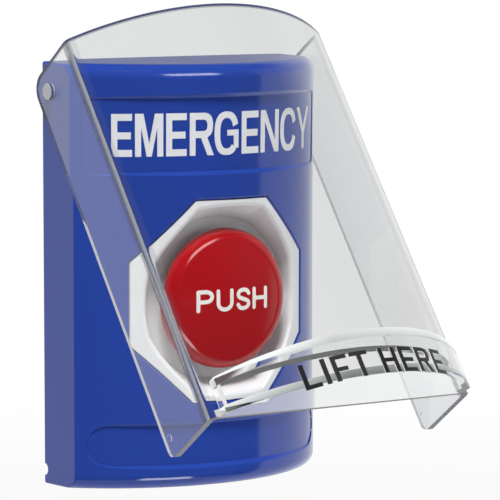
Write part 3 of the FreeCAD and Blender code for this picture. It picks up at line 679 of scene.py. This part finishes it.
studio = {
    "floorHeight": -0.16,
    "floorRadius": 1.0,
    "floorSides": 96,
    "floorColour": (0.90, 0.90, 0.90),
    "floorGlow": 0.8,
    "floorFade": (0.2, 0.9),  # metres from the middle, over which it turns white
    "surround": 0.09,
    "behindCover": 0.85,
    "inCover": (0.62, 0.66, 0.66),
    "inCoverShade": 0.85,  # how much darker it is from above
    "mirrorLeft": -118.0,  # degrees from straight ahead
    "mirrorRight": 55.0,
    "mirrorBlur": 1.0,
    "mirrorDark": 0.02,
    "mirrorLevels": [  # from the left round to the right
        (0.0, 0.75), (0.25, 0.75), (0.5, 0.55), (0.78, 0.30), (0.88, 0.95), (1.0, 0.95),
    ],
    "mirrorSide": 1.15,
    "mirrorHigh": 0.6,
    "mirrorTable": 0.9,
    "highRise": (0.1, 0.3),  # sines of the height above the horizon
    "ceilingRise": (0.45, 0.75),
    "tableRise": (-0.75, -0.55),
}


def surround():
    # white where it is seen, and almost so through the clear cover; in reflections dark before
    # the station and bright from the right round to the left rear; a grey tint in light that was
    # reflected inside the cover's plastic; a plain level for everything that isn't polished
    world = bpy.data.worlds.new("surround")
    scene.world = world
    world.use_nodes = True
    paint = Paint("surround", world.node_tree)
    seen, glossy = paint.ray("Is Camera Ray"), paint.ray("Is Glossy Ray")
    through = paint.ray("Is Transmission Ray")
    inside = through * (paint.ray("Glossy Depth") > 0.5)
    toward = paint.node("ShaderNodeTexCoord", {}, {}, out="Generated")
    level = paint.node("ShaderNodeVectorMath", {"operation": "MULTIPLY"}, {0: toward, 1: (1, 1, 0)})
    level = paint.node("ShaderNodeVectorMath", {"operation": "NORMALIZE"}, {0: level})
    middle = math.radians((studio["mirrorLeft"] + studio["mirrorRight"]) / 2)
    reach = math.radians((studio["mirrorRight"] - studio["mirrorLeft"]) / 2)
    blur = math.radians(studio["mirrorBlur"])
    turn = paint.along(level, (math.sin(middle), -math.cos(middle), 0)).angle()
    side = paint.rise(turn, (reach - blur, reach + blur))
    across = 0.5 + paint.along(level, (0.5, 0, 0))
    stops = [(place, (value, value, value)) for place, value in studio["mirrorLevels"]]
    bright = studio["mirrorSide"] * paint.ramp(across, stops)
    upward = paint.along(toward, (0, 0, 1))
    high = paint.rise(upward, studio["highRise"], (1.0, studio["mirrorHigh"]), "SMOOTHSTEP")
    ceiling = paint.rise(upward, studio["ceilingRise"], shape="SMOOTHSTEP")
    table = paint.rise(upward, studio["tableRise"], (studio["mirrorTable"], 0.0), "SMOOTHSTEP")
    dark = studio["mirrorDark"]
    mirrored = (dark + (bright * high - dark) * (side * (1 - ceiling))).most(table)
    plain = (1 - seen) * (1 - through) * (1 - glossy)
    strength = seen + (through - inside) * studio["behindCover"]
    strength = strength + glossy * (1 - through) * mirrored + plain * studio["surround"]
    strength = strength + inside * (1 - studio["inCoverShade"] * ceiling)
    colour = paint.mix(inside, (1, 1, 1, 1), (*studio["inCover"], 1))
    light = paint.node("ShaderNodeBackground", {}, {"Color": colour, "Strength": strength})
    paint.finish(light, "ShaderNodeOutputWorld")


def floor():
    # a pale round floor that brightens into the white surround towards its rim
    paint = Paint("floorPaint")
    seen, through = paint.ray("Is Camera Ray"), paint.ray("Is Transmission Ray")
    length = {"operation": "LENGTH"}
    away = paint.node("ShaderNodeVectorMath", length, {0: paint.place()}, out="Value")
    fade = paint.rise(away, studio["floorFade"], (studio["floorGlow"], 1.0), "SMOOTHSTEP")
    cloth = paint.node("ShaderNodeBsdfDiffuse", {}, {"Color": (*studio["floorColour"], 1)})
    level = seen + through * studio["behindCover"]
    glow = paint.node("ShaderNodeEmission", {}, {"Color": (1, 1, 1, 1), "Strength": level})
    shader = paint.node("ShaderNodeMixShader", {}, {0: fade * (seen + through), 1: cloth, 2: glow})
    shape = bmesh.new()
    sides, radius = studio["floorSides"], studio["floorRadius"]
    bmesh.ops.create_circle(shape, cap_ends=True, segments=sides, radius=radius)
    piece = makePiece("floor", shape, [paint.finish(shader)])
    piece.location.z = studio["floorHeight"]
    piece.visible_glossy = False


# The first two light the station, and the others are only seen in polished surfaces

panels = {
    "keyPanel": {
        "place": (-0.27, -0.34, 0.90),
        "width": 0.30,
        "height": 0.30,
        "power": 14.0,
        "mirrored": False,
    },
    "rightPanel": {
        "place": (0.80, -0.70, 0.10),
        "width": 0.60,
        "height": 0.60,
        "power": 2.8,
        "mirrored": False,
    },
    "topPanel": {
        "place": (0.10, -0.84, 0.54),
        "width": 0.56,
        "height": 0.26,
        "power": 4.6,
        "mirrored": True,
    },
    "lowPanel": {
        "place": (-0.15, -0.77, -0.62),
        "width": 0.50,
        "height": 0.28,
        "power": 4.2,
        "mirrored": True,
    },
}


def softPanel(name, panel):
    # a soft lamp aimed at the station
    light = bpy.data.lights.new(name, "AREA")
    light.shape = "RECTANGLE"
    light.size = panel["width"]
    light.size_y = panel["height"]
    light.energy = panel["power"]
    lamp = bpy.data.objects.new(name, light)
    lamp.location = panel["place"]
    lamp.rotation_euler = (-Vector(panel["place"])).to_track_quat("-Z", "Y").to_euler()
    lamp.visible_diffuse = not panel["mirrored"]
    lamp.visible_glossy = panel["mirrored"]
    lamp.visible_transmission = panel["mirrored"]
    scene.collection.objects.link(lamp)


surround()
floor()
for name, panel in panels.items():
    softPanel(name, panel)

# Camera: where the photograph was taken from

view = {
    "place": (-0.5124, -0.7979, 0.0997),
    "turn": (84.26, 0.0, -34.2),
    "lens": 235.0,
    "sensor": 36.0,
}
camera = bpy.data.cameras.new("camera")
camera.lens = view["lens"]
camera.sensor_width = view["sensor"]
eye = bpy.data.objects.new("camera", camera)
eye.location = view["place"]
eye.rotation_euler = [math.radians(angle) for angle in view["turn"]]
scene.collection.objects.link(eye)
scene.camera = eye
scene.view_settings.view_transform = "Standard"
print("studio and camera set")
